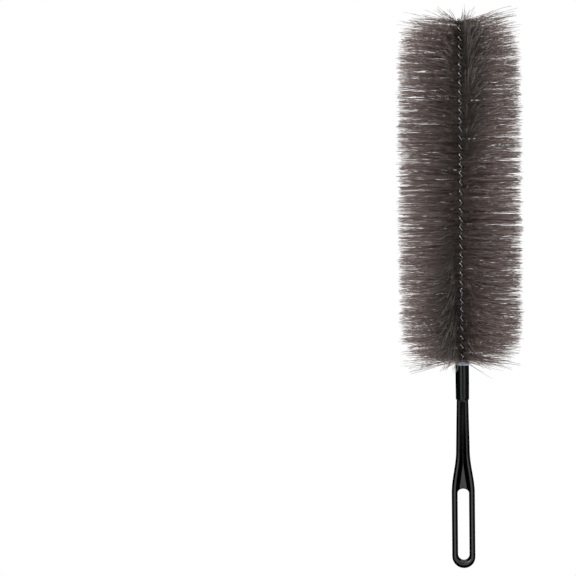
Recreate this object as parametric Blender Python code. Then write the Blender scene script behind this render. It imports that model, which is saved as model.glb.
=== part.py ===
"""Twisted-wire brush duster, held upright with its bristle head at the top.

The handle is moulded as a hairpin: two rails leave a hanging slot between them and merge into a
grooved shank. A spigot on the shank carries a sleeve and holds the foot of the stem, which is two
wires twisted together. The wires pinch a thin layer of filaments between them, and the filaments'
two ends stand out on opposite sides, so that the twist spreads them all round the stem.

Heights are measured up from the end of the handle's loop. Every piece hangs on one empty, which
puts the world's origin where a hand holds the handle.
"""

import math

import bmesh
import bpy
from mathutils import Vector

MM = 0.001
FULL_TURN = 2.0 * math.pi

# Fits
SEAT_GAP = 0.3 * MM
OVERRUN = 1.0 * MM

# Stem wires
WIRE_DIAMETER = 2.0 * MM
TWIST_PITCH = 13.0 * MM
WIRE_STUB = 1.2 * MM

# Filament layer and bristle head
LAYER_THICKNESS = 0.5 * MM
LAYER_WIDTH = 3.2 * MM
HEAD_LENGTH = 246.5 * MM
HEAD_DIAMETER = 89.0 * MM
LOCK_WIDTH = 1.0 * MM
LOCK_BEND = 1.6 * MM
TOP_LEAN = math.radians(5.0)
FOOT_LEAN = math.radians(-4.0)
LEAN_SPREAD = math.radians(4.0)
SECTIONS = 10
LOCKS_PER_SECTION = 48

# Handle loop
LOOP_WIDTH = 16.7 * MM
LOOP_DEPTH = 5.6 * MM
LOOP_END_THICKNESS = 5.8 * MM
RAIL_WIDTH = 4.0 * MM
SLOT_LENGTH = 51.2 * MM
SLOT_ARCH_HEIGHT = 3.2 * MM

# Handle shoulder and shank
SHOULDER_DROP = 3.5 * MM
SHOULDER_LENGTH = 30.0 * MM
SHANK_LENGTH = 36.8 * MM
SHANK_FOOT_WIDTH = 9.9 * MM
SHANK_RAIL_WIDTH = 3.3 * MM
SHANK_SIDE_STEP = 0.6 * MM
SHANK_FACE_STEP = 0.2 * MM
GROOVE_DEPTH = 1.0 * MM

# Web between the rails
WEB_THICKNESS = 2.6 * MM
FACET_WIDTH = 4.8 * MM
FACET_LENGTH = 17.7 * MM
GROOVE_FLOOR_WIDTH = 0.6 * MM

# Spigot and socket
SPIGOT_WALL = 0.95 * MM
SOCKET_FLOOR = 2.0 * MM
SPIGOT_CHAMFER = 0.4 * MM

# Sleeve
SLEEVE_LENGTH = 25.2 * MM
SLEEVE_FOOT_WALL = 0.9 * MM
SLEEVE_TOP_WALL = 1.0 * MM
SLEEVE_END_WALL = 1.6 * MM
SLEEVE_RIM = 0.35 * MM

# Adhesive bead
BEAD_HEIGHT = 2.0 * MM
BEAD_INSET = 0.3 * MM
BEAD_SKIRT = 0.35 * MM

# Grip
GRIP_HEIGHT = 72.0 * MM

# Facets
RAIL_POINTS = 16
ARC_STEPS = 16
SHOULDER_STEPS = 9
SHANK_STEPS = 3
TURNED_STEPS = 28
WIRE_POINTS_PER_TURN = 9
WIRE_ROUNDING = 1
CREASE_ANGLE = math.radians(35.0)

# Shares that shape an outline
MERGE_SHARE = 0.01
RAIL_ROUNDNESS_SHARE = 0.93
LAND_SHARE = 0.92
LEAST_INNER_SHARE = 0.05
FACET_SHARES = (0.0, 0.5, 1.0)
FLANK_SHARES = (0.5, 0.8, 0.95, 1.0)
FLANK_TOP_SHARE = 0.7
SLEEVE_TAPER_SHARE = 0.45
BELLY_SHARE = 0.66
LOCK_DEPTH_SHARE = 0.8
LENGTH_SPREAD_SHARE = 0.08
BEAD_DOME_SHARES = (0.0, 0.35, 0.7, 1.0)
LEAN_POWER = 3
LEAN_SCATTER_SHARE = 0.7548776662
BEND_SCATTER_SHARE = 0.5698402910
LENGTH_SCATTER_SHARE = 0.4142135624

# Stem, worked out from the wires and the layer
WIRE_RADIUS = WIRE_DIAMETER / 2
CLOSED_TWIST_RADIUS = WIRE_RADIUS + SEAT_GAP / 2
OPEN_TWIST_RADIUS = WIRE_RADIUS + LAYER_THICKNESS / 2 + SEAT_GAP
CLOSED_TWIST_TILT = math.atan(FULL_TURN * CLOSED_TWIST_RADIUS / TWIST_PITCH)
CUT_END_DIP = WIRE_RADIUS * math.sin(CLOSED_TWIST_TILT)
SOCKET_RADIUS = CLOSED_TWIST_RADIUS + WIRE_RADIUS + SEAT_GAP
SPIGOT_RADIUS = SOCKET_RADIUS + SPIGOT_WALL
SLEEVE_BORE_RADIUS = SPIGOT_RADIUS + SEAT_GAP
SLEEVE_FOOT_RADIUS = SLEEVE_BORE_RADIUS + SLEEVE_FOOT_WALL
SLEEVE_TOP_RADIUS = SLEEVE_BORE_RADIUS + SLEEVE_TOP_WALL
BEAD_RADIUS = SLEEVE_TOP_RADIUS - BEAD_INSET
BEAD_BORE_RADIUS = OPEN_TWIST_RADIUS + WIRE_RADIUS + SEAT_GAP

# Heights above the end of the loop, each piece standing on the one below
SLOT_FOOT = LOOP_END_THICKNESS
SLOT_TOP = SLOT_FOOT + SLOT_LENGTH
SHOULDER_FOOT = SLOT_TOP - SHOULDER_DROP
SHOULDER_TOP = SHOULDER_FOOT + SHOULDER_LENGTH
SHANK_TOP = SHOULDER_TOP + SHANK_LENGTH
SLEEVE_FOOT = SHANK_TOP + SEAT_GAP
SLEEVE_TOP = SLEEVE_FOOT + SLEEVE_LENGTH
SPIGOT_TOP = SLEEVE_TOP - SLEEVE_END_WALL - SEAT_GAP
SOCKET_FOOT = SHANK_TOP + SOCKET_FLOOR
STEM_FOOT = SOCKET_FOOT + SEAT_GAP + CUT_END_DIP
BEAD_FOOT = SLEEVE_TOP + SEAT_GAP
BEAD_TOP = BEAD_FOOT + BEAD_HEIGHT
HEAD_FOOT = BEAD_TOP + SEAT_GAP
HEAD_TOP = HEAD_FOOT + HEAD_LENGTH
STEM_TOP = HEAD_TOP + WIRE_STUB

# Half widths of the handle
LOOP_HALF_WIDTH = LOOP_WIDTH / 2
SLOT_HALF_WIDTH = LOOP_HALF_WIDTH - RAIL_WIDTH
SHANK_FOOT_HALF_WIDTH = SHANK_FOOT_WIDTH / 2
SHANK_TOP_HALF_WIDTH = SPIGOT_RADIUS + SHANK_SIDE_STEP
SHANK_DEPTH = 2 * (SPIGOT_RADIUS + SHANK_FACE_STEP)
ARC_CENTRE = LOOP_HALF_WIDTH
SLOT_ARC_CENTRE = SLOT_FOOT + SLOT_HALF_WIDTH


def clear_scene():
    for item in list(bpy.data.objects):
        bpy.data.objects.remove(item, do_unlink=True)


def material(name, colour, roughness, metallic=0.0):
    made = bpy.data.materials.new(name)
    made.use_nodes = True
    shader = made.node_tree.nodes["Principled BSDF"]
    shader.inputs["Base Color"].default_value = (*colour, 1.0)
    shader.inputs["Roughness"].default_value = roughness
    shader.inputs["Metallic"].default_value = metallic
    return made


def place(name, data, finish, parent):
    """A named object that carries one finish and hangs on the parent."""
    piece = bpy.data.objects.new(name, data)
    bpy.context.scene.collection.objects.link(piece)
    piece.data.materials.append(finish)
    piece.parent = parent
    return piece


def mesh_of(name, bm):
    """Turns a closed bmesh into a mesh that faces out and is shaded smooth."""
    bmesh.ops.recalc_face_normals(bm, faces=bm.faces)
    mesh = bpy.data.meshes.new(name)
    bm.to_mesh(mesh)
    bm.free()
    mesh.shade_smooth()
    mesh.set_sharp_from_angle(angle=CREASE_ANGLE)
    return mesh


def bridge(bm, first, second):
    """Joins two rings of as many vertices with a band of quads."""
    count = len(first)
    for index in range(count):
        after = (index + 1) % count
        bm.faces.new((first[index], first[after], second[after], second[index]))


def cap(bm, ring):
    """Closes a ring whose two halves mirror each other with quads from half to half."""
    last = len(ring) - 1
    for index in range(len(ring) // 2 - 1):
        corners = (index, index + 1, last - index - 1, last - index)
        bm.faces.new([ring[corner] for corner in corners])


def loft(rings):
    """A closed solid through rings of points, capped at both ends."""
    bm = bmesh.new()
    rows = [[bm.verts.new(point) for point in ring] for ring in rings]
    for first, second in zip(rows, rows[1:]):
        bridge(bm, first, second)
    cap(bm, rows[0])
    cap(bm, rows[-1])
    return bm


def turned(outline):
    """A solid of revolution from an outline of (radius, height) points around the Z axis."""
    bm = bmesh.new()
    points = [bm.verts.new((radius, 0.0, height)) for radius, height in outline]
    edges = [bm.edges.new(pair) for pair in zip(points, points[1:])]
    closed = outline[0][0] > 0.0
    if closed:
        edges.append(bm.edges.new((points[-1], points[0])))
    bmesh.ops.spin(
        bm,
        geom=points + edges,
        cent=(0.0, 0.0, 0.0),
        axis=(0.0, 0.0, 1.0),
        angle=FULL_TURN,
        steps=TURNED_STEPS,
        use_merge=True,
    )
    bmesh.ops.remove_doubles(bm, verts=bm.verts, dist=SEAT_GAP * MERGE_SHARE)
    return bm


def combine(target, helper, operation):
    """Adds a helper to a piece or cuts it away, and leaves the helper out of the model."""
    helper.hide_render = True
    helper.display_type = "WIRE"
    modifier = target.modifiers.new(helper.name, "BOOLEAN")
    modifier.operation = operation
    modifier.solver = "EXACT"
    modifier.object = helper


def eased(value, start, length):
    """0 below start, 1 past start + length, and smooth between."""
    share = min(1.0, max(0.0, (value - start) / length))
    return share * share * (3.0 - 2.0 * share)


def mixed(low, high, share):
    return low + (high - low) * share


# Handle


def outer_half_width(height):
    """Half the handle's width, from the loop over the shoulder and up the tapering shank."""
    up_the_shank = min(1.0, max(0.0, (height - SHOULDER_TOP) / SHANK_LENGTH))
    shank = mixed(SHANK_FOOT_HALF_WIDTH, SHANK_TOP_HALF_WIDTH, up_the_shank)
    return mixed(LOOP_HALF_WIDTH, shank, eased(height, SHOULDER_FOOT, SHOULDER_LENGTH))


def inner_half_width(height):
    """Half the gap between the rails. They close up in the shank and never cross its middle."""
    outer = outer_half_width(height)
    rail = mixed(RAIL_WIDTH, SHANK_RAIL_WIDTH, eased(height, SHOULDER_FOOT, SHOULDER_LENGTH))
    return max(outer - rail, outer * LEAST_INNER_SHARE)


def half_depth(height):
    """Half the rails' thickness from front to back."""
    return mixed(LOOP_DEPTH, SHANK_DEPTH, eased(height, SHOULDER_FOOT, SHOULDER_LENGTH)) / 2


def web_half_depth(height):
    """Half the thickness of the web at the bottom of the groove between the rails."""
    groove_floor = SHANK_DEPTH - 2 * GROOVE_DEPTH
    return mixed(WEB_THICKNESS, groove_floor, eased(height, SLOT_TOP, SHOULDER_LENGTH)) / 2


def rail_ring(outer, inner, depth):
    """A rounded section between the rail's outer and inner edge, with a flat land front and back."""
    centre = (outer + inner) / 2
    across = (outer - inner) / 2
    points = []
    for index in range(RAIL_POINTS):
        angle = FULL_TURN * index / RAIL_POINTS
        out = math.copysign(abs(math.cos(angle)) ** RAIL_ROUNDNESS_SHARE, math.cos(angle))
        rise = math.copysign(abs(math.sin(angle)) ** RAIL_ROUNDNESS_SHARE, math.sin(angle))
        rise = max(-1.0, min(1.0, rise / LAND_SHARE))
        points.append(centre + across * out + Vector((0.0, depth * rise, 0.0)))
    return points


def leg_rings(side):
    """The rail's sections up one leg, from above the end arc to the top of the shank."""
    shoulder = [
        SHOULDER_FOOT + SHOULDER_LENGTH * step / SHOULDER_STEPS for step in range(SHOULDER_STEPS)
    ]
    shank = [SHOULDER_TOP + SHANK_LENGTH * step / SHANK_STEPS for step in range(SHANK_STEPS + 1)]
    rings = []
    for height in shoulder + shank:
        outer = Vector((side * outer_half_width(height), 0.0, height))
        inner = Vector((side * inner_half_width(height), 0.0, height))
        rings.append(rail_ring(outer, inner, half_depth(height)))
    return rings


def arc_rings():
    """The rail's sections round the end of the loop, from the left leg to the right one."""
    rings = []
    for step in range(ARC_STEPS + 1):
        angle = math.pi * step / ARC_STEPS
        direction = Vector((-math.cos(angle), 0.0, -math.sin(angle)))
        outer = direction * LOOP_HALF_WIDTH + Vector((0.0, 0.0, ARC_CENTRE))
        inner = direction * SLOT_HALF_WIDTH + Vector((0.0, 0.0, SLOT_ARC_CENTRE))
        rings.append(rail_ring(outer, inner, LOOP_DEPTH / 2))
    return rings


def hairpin():
    """The rail: down the left leg, round the end of the loop and up the right leg."""
    return loft(leg_rings(-1.0)[::-1] + arc_rings() + leg_rings(1.0))


def arch_height(offset):
    """Height of the slot's arched top at a distance from its middle."""
    share = min(1.0, offset / SLOT_HALF_WIDTH)
    return SLOT_TOP - SLOT_ARCH_HEIGHT * (1.0 - math.sqrt(1.0 - share * share))


def web_offsets(height):
    """Where the web's section turns, from its middle out: over the facet, up its flank, into the rail."""
    narrowed = min(1.0, max(0.0, height - SLOT_TOP) / FACET_LENGTH)
    rail = inner_half_width(height)
    facet = min(rail, mixed(FACET_WIDTH, GROOVE_FLOOR_WIDTH, narrowed) / 2)
    on_facet = [facet * share for share in FACET_SHARES]
    on_flank = [mixed(facet, rail, share) for share in FLANK_SHARES]
    return on_facet + on_flank + [(outer_half_width(height) + rail) / 2]


def web_half_depths(height):
    """Half the web's thickness at those places. The flank curves up from the facet to the rail."""
    facet = web_half_depth(height)
    top = mixed(facet, half_depth(height), FLANK_TOP_SHARE)
    on_flank = [mixed(facet, top, share * share) for share in FLANK_SHARES]
    return [facet] * len(FACET_SHARES) + on_flank + [top]


def web_ring(share):
    """The web's section at a share of the way from the slot's arch to the top of the shank."""
    half = []
    for number, offset_at_slot in enumerate(web_offsets(SLOT_TOP)):
        height = mixed(arch_height(offset_at_slot), SHANK_TOP, share)
        half.append((web_offsets(height)[number], -web_half_depths(height)[number], height))
    left = [Vector((-offset, depth, height)) for offset, depth, height in half[:0:-1]]
    front = left + [Vector(point) for point in half]
    back = [Vector((point.x, -point.y, point.z)) for point in reversed(front)]
    return front + back


def web():
    """The web that closes the gap between the rails above the slot, sunk below their lands."""
    rows = SHOULDER_STEPS + SHANK_STEPS
    return loft([web_ring(row / rows) for row in range(rows + 1)])


def make_handle(parent, finish):
    handle = place("handle", mesh_of("handle", hairpin()), finish, parent)
    filling = place("handle_web", mesh_of("handle_web", web()), finish, parent)
    spigot = turned(
        (
            (0.0, SHANK_TOP - OVERRUN),
            (SPIGOT_RADIUS, SHANK_TOP - OVERRUN),
            (SPIGOT_RADIUS, SPIGOT_TOP - SPIGOT_CHAMFER),
            (SPIGOT_RADIUS - SPIGOT_CHAMFER, SPIGOT_TOP),
            (0.0, SPIGOT_TOP),
        )
    )
    socket = turned(
        (
            (0.0, SOCKET_FOOT),
            (SOCKET_RADIUS, SOCKET_FOOT),
            (SOCKET_RADIUS, SPIGOT_TOP + OVERRUN),
            (0.0, SPIGOT_TOP + OVERRUN),
        )
    )
    spigot = place("handle_spigot", mesh_of("handle_spigot", spigot), finish, parent)
    socket = place("handle_socket", mesh_of("handle_socket", socket), finish, parent)
    combine(handle, filling, "UNION")
    combine(handle, spigot, "UNION")
    combine(handle, socket, "DIFFERENCE")


# Sleeve and adhesive bead


def make_sleeve(parent, finish):
    """A sleeve over the spigot, tapered at its foot, with an end wall that the stem passes."""
    outline = (
        (SLEEVE_BORE_RADIUS, SLEEVE_FOOT),
        (SLEEVE_FOOT_RADIUS - SLEEVE_RIM, SLEEVE_FOOT),
        (SLEEVE_FOOT_RADIUS, SLEEVE_FOOT + SLEEVE_RIM),
        (SLEEVE_TOP_RADIUS, mixed(SLEEVE_FOOT, SLEEVE_TOP, SLEEVE_TAPER_SHARE)),
        (SLEEVE_TOP_RADIUS, SLEEVE_TOP - SLEEVE_RIM),
        (SLEEVE_TOP_RADIUS - SLEEVE_RIM, SLEEVE_TOP),
        (SOCKET_RADIUS, SLEEVE_TOP),
        (SOCKET_RADIUS, SLEEVE_TOP - SLEEVE_END_WALL),
        (SLEEVE_BORE_RADIUS, SLEEVE_TOP - SLEEVE_END_WALL),
    )
    place("sleeve", mesh_of("sleeve", turned(outline)), finish, parent)


def make_bead(parent, finish):
    """A low domed ring of adhesive on the sleeve's end wall, round the stem."""
    dome = []
    for share in BEAD_DOME_SHARES:
        angle = share * FULL_TURN / 4
        radius = mixed(BEAD_BORE_RADIUS, BEAD_RADIUS, math.cos(angle))
        dome.append((radius, mixed(BEAD_FOOT + BEAD_SKIRT, BEAD_TOP, math.sin(angle))))
    outline = [(BEAD_BORE_RADIUS, BEAD_FOOT), (BEAD_RADIUS, BEAD_FOOT)] + dome
    place("adhesive_bead", mesh_of("adhesive_bead", turned(outline)), finish, parent)


# Stem wires


def twist_angle(height):
    """Where the first wire stands round the stem. The twist is left-handed, as an S."""
    return -FULL_TURN * (height - STEM_FOOT) / TWIST_PITCH


def wire_path(turn_offset):
    """Points along one wire, close to the axis in the socket and spread by the filament layer."""
    count = math.ceil((STEM_TOP - STEM_FOOT) / TWIST_PITCH * WIRE_POINTS_PER_TURN)
    points = []
    for index in range(count + 1):
        height = mixed(STEM_FOOT, STEM_TOP, index / count)
        opened = eased(height, SLEEVE_TOP, BEAD_TOP - SLEEVE_TOP)
        radius = mixed(CLOSED_TWIST_RADIUS, OPEN_TWIST_RADIUS, opened)
        angle = twist_angle(height) + turn_offset
        points.append(Vector((radius * math.cos(angle), radius * math.sin(angle), height)))
    return points


def least_gap(points, others, skip):
    """The least clear distance between two wires, or between one wire's points skip or more apart."""
    return min(
        (point - other).length - WIRE_DIAMETER
        for index, point in enumerate(points)
        for other_index, other in enumerate(others)
        if abs(index - other_index) >= skip
    )


def make_wire(name, path, parent, finish):
    curve = bpy.data.curves.new(name, "CURVE")
    curve.dimensions = "3D"
    curve.bevel_depth = WIRE_RADIUS
    curve.bevel_resolution = WIRE_ROUNDING
    curve.use_fill_caps = True
    spline = curve.splines.new("POLY")
    spline.points.add(len(path) - 1)
    for point, place_on_path in zip(spline.points, path):
        point.co = (*place_on_path, 1.0)
    place(name, curve, finish, parent)


def make_stem(parent, finish):
    first = wire_path(0.0)
    second = wire_path(FULL_TURN / 2)
    make_wire("stem_wire_a", first, parent, finish)
    make_wire("stem_wire_b", second, parent, finish)
    print(f"least gap of a wire to itself {least_gap(first, first, WIRE_POINTS_PER_TURN // 2) / MM:.2f} mm")
    print(f"least gap between the wires {least_gap(first, second, 0) / MM:.2f} mm")


# Bristle head

# The layer's two edges: the side of its four-sided section, and which way its locks stand
LAYER_EDGES = ((0, 1.0), (2, -1.0))


def layer_ring(height):
    """Four corners of the filament layer's section, which lies between the two wires."""
    angle = twist_angle(height) + FULL_TURN / 4
    along = Vector((math.cos(angle), math.sin(angle), 0.0)) * LAYER_WIDTH / 2
    through = Vector((-math.sin(angle), math.cos(angle), 0.0)) * LAYER_THICKNESS / 2
    centre = Vector((0.0, 0.0, height))
    return (
        centre + along - through,
        centre + along + through,
        centre - along + through,
        centre - along - through,
    )


def lean_at(height, spread):
    """How far a filament leans along the stem: only the ends of the head splay outwards."""
    share = 2.0 * (height - HEAD_FOOT) / HEAD_LENGTH - 1.0
    end_lean = TOP_LEAN if share > 0.0 else -FOOT_LEAN
    return end_lean * share**LEAN_POWER + LEAN_SPREAD * spread


def lock_points(height, side, number):
    """The belly ring and the tip of the lock of filaments that leaves the layer on one side."""
    spread = 2.0 * ((number * LEAN_SCATTER_SHARE) % 1.0) - 1.0
    bend = 2.0 * ((number * BEND_SCATTER_SHARE) % 1.0) - 1.0
    shortened = LENGTH_SPREAD_SHARE * ((number * LENGTH_SCATTER_SHARE) % 1.0)
    angle = twist_angle(height) + FULL_TURN / 4
    outwards = Vector((math.cos(angle), math.sin(angle), 0.0)) * side
    sideways = Vector((-math.sin(angle), math.cos(angle), 0.0)) * side
    lean = lean_at(height, spread)
    direction = outwards * math.cos(lean) + Vector((0.0, 0.0, math.sin(lean)))
    upwards = direction.cross(sideways)
    longest = (HEAD_DIAMETER - LAYER_WIDTH) / 2 / math.cos(lean)
    length = longest * (1.0 - shortened)
    root = Vector((0.0, 0.0, height)) + outwards * LAYER_WIDTH / 2
    belly = root + direction * length * BELLY_SHARE
    tip = root + direction * length + sideways * LOCK_BEND * bend
    wide = sideways * LOCK_WIDTH * LOCK_DEPTH_SHARE / 2
    tall = upwards * LOCK_WIDTH / 2
    ring = (belly + tall - wide, belly + tall + wide, belly - tall + wide, belly - tall - wide)
    return ring, tip


def grow_lock(bm, root_ring, ring, tip):
    """Extrudes one root quad of the layer's edge through the belly ring to a pointed tip."""
    belly = [bm.verts.new(point) for point in ring]
    bridge(bm, root_ring, belly)
    end = bm.verts.new(tip)
    for index, vertex in enumerate(belly):
        bm.faces.new((vertex, belly[(index + 1) % len(belly)], end))


def bristle_section(section):
    """A slice of the filament layer with one lock to a row, on its two edges by turns."""
    pace = HEAD_LENGTH / SECTIONS
    foot = HEAD_FOOT + pace * section
    row_height = (pace - SEAT_GAP) / LOCKS_PER_SECTION
    bm = bmesh.new()
    rows = [
        [bm.verts.new(point) for point in layer_ring(foot + row_height * row)]
        for row in range(LOCKS_PER_SECTION + 1)
    ]
    cap(bm, rows[0])
    cap(bm, rows[-1])
    for row, (lower, upper) in enumerate(zip(rows, rows[1:])):
        grown, side = LAYER_EDGES[row % len(LAYER_EDGES)]
        for start in range(len(lower)):
            end = (start + 1) % len(lower)
            face = (upper[start], upper[end], lower[end], lower[start])
            if start == grown:
                middle = foot + row_height * (row + 0.5)
                number = section * LOCKS_PER_SECTION + row
                grow_lock(bm, face, *lock_points(middle, side, number))
            else:
                bm.faces.new(face)
    return bm


def make_bristles(parent, finish):
    for section in range(SECTIONS):
        name = f"bristles_{section + 1:02d}"
        place(name, mesh_of(name, bristle_section(section)), finish, parent)


def main():
    clear_scene()
    loop_end = bpy.data.objects.new("loop_end", None)
    bpy.context.scene.collection.objects.link(loop_end)
    loop_end.location.z = -GRIP_HEIGHT
    black_plastic = material("black_plastic", (0.012, 0.013, 0.014), 0.24)
    sleeve_plastic = material("sleeve_plastic", (0.011, 0.014, 0.016), 0.3)
    clear_adhesive = material("clear_adhesive", (0.42, 0.47, 0.54), 0.2)
    coated_steel = material("coated_steel", (0.02, 0.02, 0.019), 0.22, 0.3)
    grey_filament = material("grey_filament", (0.105, 0.085, 0.08), 0.5)
    make_handle(loop_end, black_plastic)
    make_sleeve(loop_end, sleeve_plastic)
    make_bead(loop_end, clear_adhesive)
    make_stem(loop_end, coated_steel)
    make_bristles(loop_end, grey_filament)


main()
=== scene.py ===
"""A brush duster on a long-slotted handle, held upright before a white backdrop.

Heights called "above the loop end" are measured from the lowest point of the handle. Meshes are
made at those heights and then lowered by GRIP_HEIGHT, so that the origin lies in the hand's grip.
"""

import math

import bmesh
import bpy
from mathutils import Matrix, Vector


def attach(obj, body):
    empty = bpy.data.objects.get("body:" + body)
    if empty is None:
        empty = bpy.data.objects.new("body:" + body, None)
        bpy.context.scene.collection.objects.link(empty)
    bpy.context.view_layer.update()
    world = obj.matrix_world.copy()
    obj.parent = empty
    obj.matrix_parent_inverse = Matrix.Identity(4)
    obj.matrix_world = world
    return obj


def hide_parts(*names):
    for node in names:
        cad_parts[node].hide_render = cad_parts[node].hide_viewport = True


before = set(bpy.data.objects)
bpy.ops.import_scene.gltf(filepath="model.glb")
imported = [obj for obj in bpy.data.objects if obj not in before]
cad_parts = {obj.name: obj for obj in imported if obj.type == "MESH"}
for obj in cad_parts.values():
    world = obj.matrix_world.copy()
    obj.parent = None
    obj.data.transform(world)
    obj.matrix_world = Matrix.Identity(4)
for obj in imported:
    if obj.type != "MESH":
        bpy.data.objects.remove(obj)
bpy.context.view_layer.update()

# Camera. The duster is seen straight on and to the right of the picture's middle, through a long
# lens that is level with the middle of the brush head.

CAMERA_DISTANCE = 1.05
CAMERA_HEIGHT = 0.195
PICTURE_MIDDLE = 0.1297
SENSOR_WIDTH = 36.0
PICTURE_PIXELS = 576
METRES_PER_PIXEL = 0.0007233
AXIS_PIXEL = 460.7
CAMERA_ROLL = math.radians(0.5)

picture_width = PICTURE_PIXELS * METRES_PER_PIXEL
axis_offset = (AXIS_PIXEL - PICTURE_PIXELS / 2) * METRES_PER_PIXEL
camera_data = bpy.data.cameras.new("camera")
camera_data.sensor_width = SENSOR_WIDTH
camera_data.lens = SENSOR_WIDTH * CAMERA_DISTANCE / picture_width
camera_data.shift_y = (PICTURE_MIDDLE - CAMERA_HEIGHT) / picture_width
camera = bpy.data.objects.new("camera", camera_data)
camera.location = (0.0, -CAMERA_DISTANCE, CAMERA_HEIGHT)
camera.rotation_euler = (math.pi / 2, CAMERA_ROLL, math.atan(axis_offset / CAMERA_DISTANCE))
bpy.context.scene.collection.objects.link(camera)
bpy.context.scene.camera = camera
bpy.context.scene.view_settings.view_transform = "Standard"


# Studio. A pale floor lies under the raised duster and fades into a white surround. Soft lights
# stand round it, the strongest in front on the left. Dark cards that only gloss sees shade the
# reflections on the handle's sides.

FLOOR_HEIGHT = -0.25
FLOOR_RADIUS = 3.0
SHADOW_RADIUS = 0.18
FADE_RADIUS = 0.55
FLOOR_COLOUR = (0.82, 0.82, 0.82, 1.0)
WHITE = (1.0, 1.0, 1.0, 1.0)
BLACK = (0.0, 0.0, 0.0, 1.0)
FLOOR_ROUGHNESS = 0.9
FLOOR_SIDES = 96
AMBIENT_STRENGTH = 0.5
FLAG_FOOT = -0.24
FLAG_TOP = 0.5
LOW_FRONT_TOP = -0.152
LOW_FLAG_TOP = 0.004

# Name, bearing in degrees from the camera's side, distance, height, width, height of face, radiance
SOFTBOXES = (
    ("key_light", -35.0, 1.5, 0.4, 0.5, 0.8, 6.5),
    ("right_panel", 85.0, 1.6, 0.3, 0.9, 1.3, 3.2),
    ("left_panel", -80.0, 1.6, 0.3, 0.9, 1.3, 0.9),
    ("back_panel", 180.0, 1.8, 0.4, 1.0, 1.2, 1.2),
)

# Name, start and end in the floor plan, lower and upper edge
TALL_FLAGS = (
    ("left_flag", (-0.45, -0.62), (-0.45, 0.8), FLAG_FOOT, FLAG_TOP),
    ("back_flag", (-0.45, 0.8), (0.45, 0.8), FLAG_FOOT, FLAG_TOP),
    ("right_flag", (0.45, 0.8), (0.45, -0.33), FLAG_FOOT, FLAG_TOP),
    ("front_flag", (-0.02, -1.2), (0.4, -1.14), FLAG_FOOT, FLAG_TOP),
    ("low_front_flag", (-0.1, -0.26), (0.1, -0.26), FLAG_FOOT, LOW_FRONT_TOP),
    ("low_left_flag", (-0.2, -0.275), (-0.2, 0.3), FLAG_FOOT, LOW_FLAG_TOP),
    ("low_back_flag", (-0.2, 0.3), (0.2, 0.3), FLAG_FOOT, LOW_FLAG_TOP),
    ("low_right_flag", (0.2, 0.3), (0.2, -0.24), FLAG_FOOT, LOW_FLAG_TOP),
)

# Name, low and high corner in the floor plan, height
LEVEL_FLAG = ("low_level_flag", (-0.2, -0.3), (0.2, 0.3), -0.235)


def seen_directly(tree):
    """1 on the rays that show the backdrop itself: from the camera, in gloss and through glass."""
    path = tree.nodes.new("ShaderNodeLightPath")
    total = None
    for ray in ("Is Camera Ray", "Is Glossy Ray", "Is Transmission Ray"):
        if total is None:
            total = path.outputs[ray]
        else:
            either = tree.nodes.new("ShaderNodeMath")
            either.operation = "MAXIMUM"
            tree.links.new(total, either.inputs[0])
            tree.links.new(path.outputs[ray], either.inputs[1])
            total = either.outputs["Value"]
    return total


def light_surround():
    world = bpy.data.worlds.new("white_surround")
    world.use_nodes = True
    bpy.context.scene.world = world
    tree = world.node_tree
    background = tree.nodes["Background"]
    background.inputs["Color"].default_value = WHITE
    strength = tree.nodes.new("ShaderNodeMapRange")
    strength.inputs["To Min"].default_value = AMBIENT_STRENGTH
    strength.inputs["To Max"].default_value = 1.0
    tree.links.new(seen_directly(tree), strength.inputs["Value"])
    tree.links.new(strength.outputs["Result"], background.inputs["Strength"])


def lay_floor():
    bm = bmesh.new()
    bmesh.ops.create_circle(bm, cap_ends=True, segments=FLOOR_SIDES, radius=FLOOR_RADIUS)
    for vertex in bm.verts:
        vertex.co.z = FLOOR_HEIGHT
    mesh = bpy.data.meshes.new("floor")
    bm.to_mesh(mesh)
    bm.free()
    floor = bpy.data.objects.new("floor", mesh)
    bpy.context.scene.collection.objects.link(floor)
    paint = bpy.data.materials.new("pale_floor")
    paint.use_nodes = True
    tree = paint.node_tree
    surface = tree.nodes["Principled BSDF"]
    surface.inputs["Base Color"].default_value = FLOOR_COLOUR
    surface.inputs["Roughness"].default_value = FLOOR_ROUGHNESS
    surface.inputs["Specular IOR Level"].default_value = 0.0
    place = tree.nodes.new("ShaderNodeTexCoord")
    reach = tree.nodes.new("ShaderNodeVectorMath")
    reach.operation = "LENGTH"
    tree.links.new(place.outputs["Object"], reach.inputs[0])
    fade = tree.nodes.new("ShaderNodeMapRange")
    fade.interpolation_type = "SMOOTHSTEP"
    fade.inputs["From Min"].default_value = SHADOW_RADIUS
    fade.inputs["From Max"].default_value = FADE_RADIUS
    tree.links.new(reach.outputs["Value"], fade.inputs["Value"])
    share = tree.nodes.new("ShaderNodeMath")
    share.operation = "MULTIPLY"
    tree.links.new(fade.outputs["Result"], share.inputs[0])
    tree.links.new(seen_directly(tree), share.inputs[1])
    glow = tree.nodes.new("ShaderNodeEmission")
    glow.inputs["Color"].default_value = WHITE
    blend = tree.nodes.new("ShaderNodeMixShader")
    tree.links.new(share.outputs["Value"], blend.inputs[0])
    tree.links.new(surface.outputs["BSDF"], blend.inputs[1])
    tree.links.new(glow.outputs["Emission"], blend.inputs[2])
    tree.links.new(blend.outputs["Shader"], tree.nodes["Material Output"].inputs["Surface"])
    mesh.materials.append(paint)


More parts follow.
